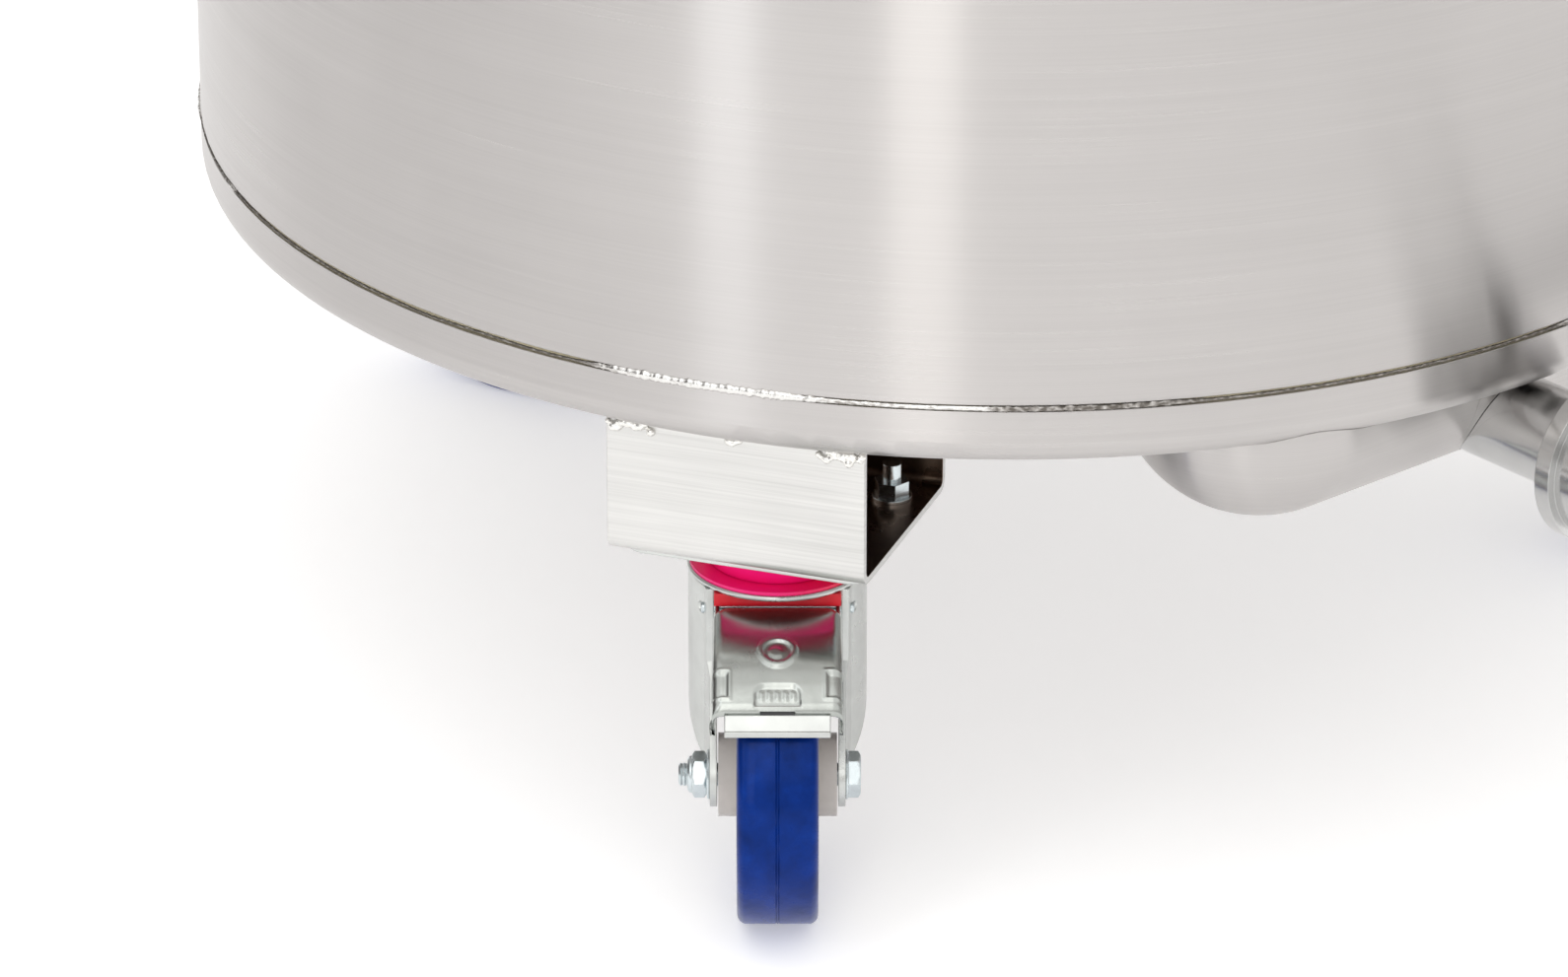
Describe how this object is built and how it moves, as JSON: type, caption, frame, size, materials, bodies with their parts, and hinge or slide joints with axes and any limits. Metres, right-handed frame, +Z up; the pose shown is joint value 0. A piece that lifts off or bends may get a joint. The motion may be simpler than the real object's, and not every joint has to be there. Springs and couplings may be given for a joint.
{
  "type": "bulk milk tank",
  "caption": "Upright round insulated stainless milk cooling tank with hinged half lids, agitator, outlet valve and braked swivel casters.",
  "frame": {"origin": "on the floor under the tank's axis", "axes": "+Z up along the tank's axis, -Y towards the outlet valve, +X to the right seen from the outlet"},
  "size_m": [0.7015, 0.8363, 1.179],
  "materials": {
    "brushed_stainless": "satin",
    "satin_stainless": "satin",
    "bracket_stainless": "satin",
    "polished_stainless": "gloss",
    "weld_bead": "satin",
    "pu_foam": "matte",
    "copper": "satin",
    "gasket_rubber": "matte",
    "cast_aluminium": "satin",
    "motor_paint": "satin",
    "black_plastic": "matte",
    "enclosure_paint": "satin",
    "panel_film": "satin",
    "green_plastic": "gloss",
    "zinc_steel": "satin",
    "zinc_bolt": "satin",
    "blue_polyurethane": "gloss",
    "hub_plastic": "satin",
    "red_plastic": "satin"
  },
  "bodies": {
    "tank": {"outer_shell": "brushed_stainless", "bottom_pan": "brushed_stainless", "seam_weld": "weld_bead", "inner_vessel": "satin_stainless", "evaporator_plate": "satin_stainless", "insulation_foam": "pu_foam", "refrigerant_stubs": "copper", "top_rim": "satin_stainless", "rim_gasket": "gasket_rubber", "lid_bridge": "satin_stainless", "hinge_pins": "polished_stainless", "gearbox": "cast_aluminium", "agitator_motor": "motor_paint", "motor_fan_cover": "motor_paint", "terminal_box": "black_plastic", "control_box": "enclosure_paint", "control_panel": "panel_film", "sump_housing": "brushed_stainless", "outlet_pipe": "polished_stainless", "valve_body": "polished_stainless", "bracket_welds": "weld_bead", "bracket_bolts": "zinc_bolt", "caster_kingpins": "zinc_bolt", "caster_plates": "zinc_steel", "bracket_left": "bracket_stainless", "bracket_right": "bracket_stainless", "bracket_rear": "bracket_stainless"},
    "lid_front": {"lid_front": "satin_stainless", "lid_handle_front": "polished_stainless"},
    "lid_rear": {"lid_rear": "satin_stainless", "lid_handle_rear": "polished_stainless"},
    "agitator": {"agitator_shaft": "polished_stainless", "agitator_paddle": "satin_stainless"},
    "power_switch": {"power_switch": "black_plastic"},
    "agitate_button": {"agitate_button": "green_plastic"},
    "dipstick": {"dipstick": "polished_stainless"},
    "outlet_valve": {"valve_disc": "polished_stainless", "valve_lever": "black_plastic"},
    "outlet_cap": {"outlet_cap": "polished_stainless"},
    "swivel_left": {"caster_fork_left": "zinc_steel", "caster_seal_left": "red_plastic", "brake_cam_left": "red_plastic", "axle_set_left": "zinc_bolt"},
    "pedal_left": {"brake_pedal_left": "zinc_steel"},
    "wheel_left": {"wheel_tread_left": "blue_polyurethane", "wheel_hub_left": "hub_plastic"},
    "swivel_right": {"caster_fork_right": "zinc_steel", "caster_seal_right": "red_plastic", "brake_cam_right": "red_plastic", "axle_set_right": "zinc_bolt"},
    "pedal_right": {"brake_pedal_right": "zinc_steel"},
    "wheel_right": {"wheel_tread_right": "blue_polyurethane", "wheel_hub_right": "hub_plastic"},
    "swivel_rear": {"caster_fork_rear": "zinc_steel", "caster_seal_rear": "red_plastic", "brake_cam_rear": "red_plastic", "axle_set_rear": "zinc_bolt"},
    "pedal_rear": {"brake_pedal_rear": "zinc_steel"},
    "wheel_rear": {"wheel_tread_rear": "blue_polyurethane", "wheel_hub_rear": "hub_plastic"}
  },
  "joints": [
    {"name": "lid_front_hinge", "type": "hinge", "parent": "tank", "child": "lid_front", "pos_m": [0, -0.082, 0.998], "axis": [-1, 0, 0], "range_deg": [0, 95]},
    {"name": "lid_rear_hinge", "type": "hinge", "parent": "tank", "child": "lid_rear", "pos_m": [0, 0.082, 0.998], "axis": [1, 0, 0], "range_deg": [0, 95]},
    {"name": "agitator_spin", "type": "hinge", "parent": "tank", "child": "agitator", "pos_m": [0, 0, 0.7], "axis": [0, 0, 1], "continuous": true},
    {"name": "power_switch_turn", "type": "hinge", "parent": "tank", "child": "power_switch", "pos_m": [0.223, -0.037, 1.0795], "axis": [0, 0.7493, -0.6622], "range_deg": [0, 90]},
    {"name": "agitate_button_press", "type": "slide", "parent": "tank", "child": "agitate_button", "axis": [0, 0.7493, -0.6622], "range_m": [0, 0.0015], "stiffness_N_per_m": 400, "springref_m": -0.001},
    {"name": "dipstick_lift", "type": "slide", "parent": "tank", "child": "dipstick", "axis": [0, 0, 1], "range_m": [0, 0.7]},
    {"name": "outlet_valve_turn", "type": "hinge", "parent": "tank", "child": "outlet_valve", "pos_m": [0, -0.395, 0.198], "axis": [0, 0, -1], "range_deg": [0, 90]},
    {"name": "outlet_cap_off", "type": "slide", "parent": "tank", "child": "outlet_cap", "axis": [0, -1, 0], "range_m": [0, 0.04]},
    {"name": "swivel_left_turn", "type": "hinge", "parent": "tank", "child": "swivel_left", "pos_m": [-0.2466, -0.14238, 0.15], "axis": [0, 0, 1], "continuous": true},
    {"name": "wheel_left_spin", "type": "hinge", "parent": "swivel_left", "child": "wheel_left", "pos_m": [-0.27232, -0.17249, 0.0625], "axis": [0.7604, -0.6494, 0], "continuous": true},
    {"name": "pedal_left_tilt", "type": "hinge", "parent": "swivel_left", "child": "pedal_left", "pos_m": [-0.25959, -0.15758, 0.1305], "axis": [-0.7604, 0.6494, 0], "range_deg": [-3, 10]},
    {"name": "swivel_right_turn", "type": "hinge", "parent": "tank", "child": "swivel_right", "pos_m": [0.2466, -0.14238, 0.15], "axis": [0, 0, 1], "continuous": true},
    {"name": "wheel_right_spin", "type": "hinge", "parent": "swivel_right", "child": "wheel_right", "pos_m": [0.28554, -0.14959, 0.0625], "axis": [0.1822, 0.9833, 0], "continuous": true},
    {"name": "pedal_right_tilt", "type": "hinge", "parent": "swivel_right", "child": "pedal_right", "pos_m": [0.26627, -0.14602, 0.1305], "axis": [-0.1822, -0.9833, 0], "range_deg": [-3, 10]},
    {"name": "swivel_rear_turn", "type": "hinge", "parent": "tank", "child": "swivel_rear", "pos_m": [0, 0.28475, 0.15], "axis": [0, 0, 1], "continuous": true},
    {"name": "wheel_rear_spin", "type": "hinge", "parent": "swivel_rear", "child": "wheel_rear", "pos_m": [-0.01322, 0.32208, 0.0625], "axis": [-0.9426, -0.3338, 0], "continuous": true},
    {"name": "pedal_rear_tilt", "type": "hinge", "parent": "swivel_rear", "child": "pedal_rear", "pos_m": [-0.00668, 0.3036, 0.1305], "axis": [0.9426, 0.3338, 0], "range_deg": [-3, 10]}
  ]
}
